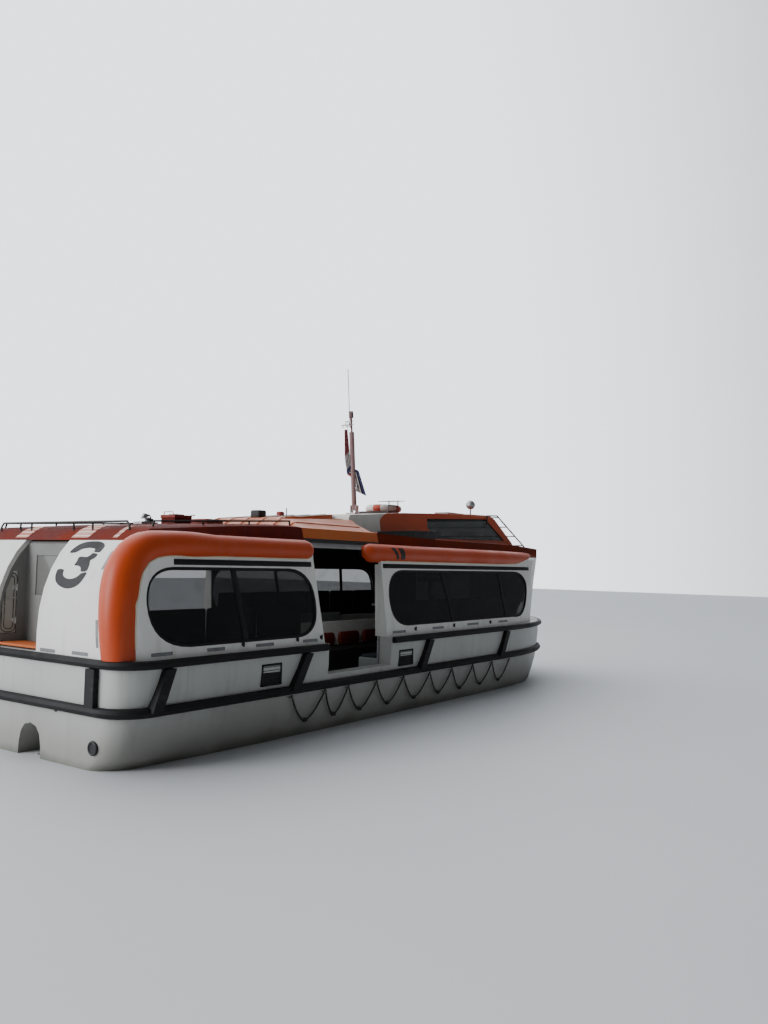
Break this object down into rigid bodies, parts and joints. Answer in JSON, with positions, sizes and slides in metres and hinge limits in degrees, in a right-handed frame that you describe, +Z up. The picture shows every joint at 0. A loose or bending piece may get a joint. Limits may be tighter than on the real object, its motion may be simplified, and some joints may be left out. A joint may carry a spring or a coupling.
{
  "type": "partially enclosed tender lifeboat",
  "caption": "White tender lifeboat with an orange-edged canopy, side windows, open boarding entrances, raised wheelhouse, rubber fenders, folding mast and twin propellers",
  "frame": {"origin": "the still waterline, amidships, on the centreline", "axes": "+X to the bow, +Y to port, +Z up"},
  "size_m": [13.1738, 4.564, 6.9335],
  "materials": {
    "hull": "weathered white fibreglass",
    "white": "white fibreglass",
    "orange": "orange fibreglass",
    "maroon": "dark red fibreglass with worn tread strips",
    "amber": "faded orange fibreglass",
    "rubber": "black rubber",
    "glass": "dark tinted glass",
    "steel": "stainless steel",
    "rudder": "painted steel",
    "bronze": "propeller bronze",
    "seat": "dark seat moulding",
    "grey": "grey fibreglass",
    "engine": "engine casing",
    "black": "black plastic",
    "rope": "dark rope",
    "cloth": "woven flag cloth"
  },
  "bodies": {
    "boat": {"hull": "hull", "canopy_side_aft_stbd": "white", "canopy_side_aft_port": "white", "canopy_side_fwd_stbd": "white", "canopy_side_fwd_port": "white", "canopy_bow": "white", "canopy_stern_stbd": "white", "canopy_stern_port": "white", "guard_rail": "white", "roof_rack": "white", "roll_aft_stbd": "orange", "roll_aft_port": "orange", "roll_fwd_stbd": "orange", "roll_fwd_port": "orange", "wheelhouse": "orange", "ring_buoy": "orange", "roof_aft": "maroon", "roof_fwd": "maroon", "roof_mid": "amber", "fender_upper_aft": "rubber", "fender_upper_fwd": "rubber", "fender_lower_aft": "rubber", "fender_lower_fwd": "rubber", "glass_aft_stbd": "glass", "glass_aft_port": "glass", "glass_fwd_stbd": "glass", "glass_fwd_port": "glass", "glass_wheelhouse_stbd": "glass", "glass_wheelhouse_port": "glass", "glass_windscreen": "glass", "glass_recess": "glass", "hook_aft": "steel", "hook_fwd": "steel", "searchlight_post": "steel", "mast_step": "steel", "rail_stern": "steel", "rail_roof_stbd": "steel", "rail_roof_port": "steel", "bench_aft_stbd": "seat", "bench_aft_port": "seat", "bench_fwd_stbd": "seat", "bench_fwd_port": "seat", "bench_mid": "seat", "helm_seat": "seat", "stern_recess": "grey", "helm": "grey", "engine_stbd": "engine", "engine_port": "engine", "lifeline_stbd": "rope", "lifeline_port": "rope"},
    "propeller_stbd": {"propeller_stbd": "bronze"},
    "propeller_port": {"propeller_port": "bronze"},
    "rudder_stbd": {"rudder_stbd": "rudder"},
    "rudder_port": {"rudder_port": "rudder"},
    "stern_door": {"stern_door": "white"},
    "hatch_lid": {"hatch_lid": "grey"},
    "mast": {"mast": "white", "flag": "cloth"},
    "searchlight": {"searchlight": "steel"},
    "steering_wheel": {"steering_wheel": "black"}
  },
  "joints": [
    {"name": "propeller_stbd_spin", "type": "hinge", "parent": "boat", "child": "propeller_stbd", "pos_m": [-5.93, -0.44, -0.33], "axis": [1, 0, 0], "continuous": true},
    {"name": "propeller_port_spin", "type": "hinge", "parent": "boat", "child": "propeller_port", "pos_m": [-5.93, 0.44, -0.33], "axis": [1, 0, 0], "continuous": true},
    {"name": "rudder_stbd_turn", "type": "hinge", "parent": "boat", "child": "rudder_stbd", "pos_m": [-6.23, -0.44, 0], "axis": [0, 0, 1], "range_deg": [-35, 35]},
    {"name": "rudder_port_turn", "type": "hinge", "parent": "boat", "child": "rudder_port", "pos_m": [-6.23, 0.44, 0], "axis": [0, 0, 1], "range_deg": [-35, 35]},
    {"name": "stern_door_swing", "type": "hinge", "parent": "boat", "child": "stern_door", "pos_m": [-6.1505, 0.556, 1.85], "axis": [0, 0, -1], "range_deg": [0, 100]},
    {"name": "hatch_lid_lift", "type": "hinge", "parent": "boat", "child": "hatch_lid", "pos_m": [-3.785, 0, 3.0206], "axis": [0, 1, 0], "range_deg": [0, 100]},
    {"name": "mast_fold", "type": "hinge", "parent": "boat", "child": "mast", "pos_m": [0.47, 0, 3.46], "axis": [0, -1, 0], "range_deg": [0, 70]},
    {"name": "searchlight_pan", "type": "hinge", "parent": "boat", "child": "searchlight", "pos_m": [3.356, -0.94, 3.6266], "axis": [0, 0, 1], "range_deg": [-170, 170]},
    {"name": "steering_wheel_turn", "type": "hinge", "parent": "boat", "child": "steering_wheel", "pos_m": [3.73, 0, 2.33], "axis": [1, 0, 0], "range_deg": [-540, 540]}
  ]
}
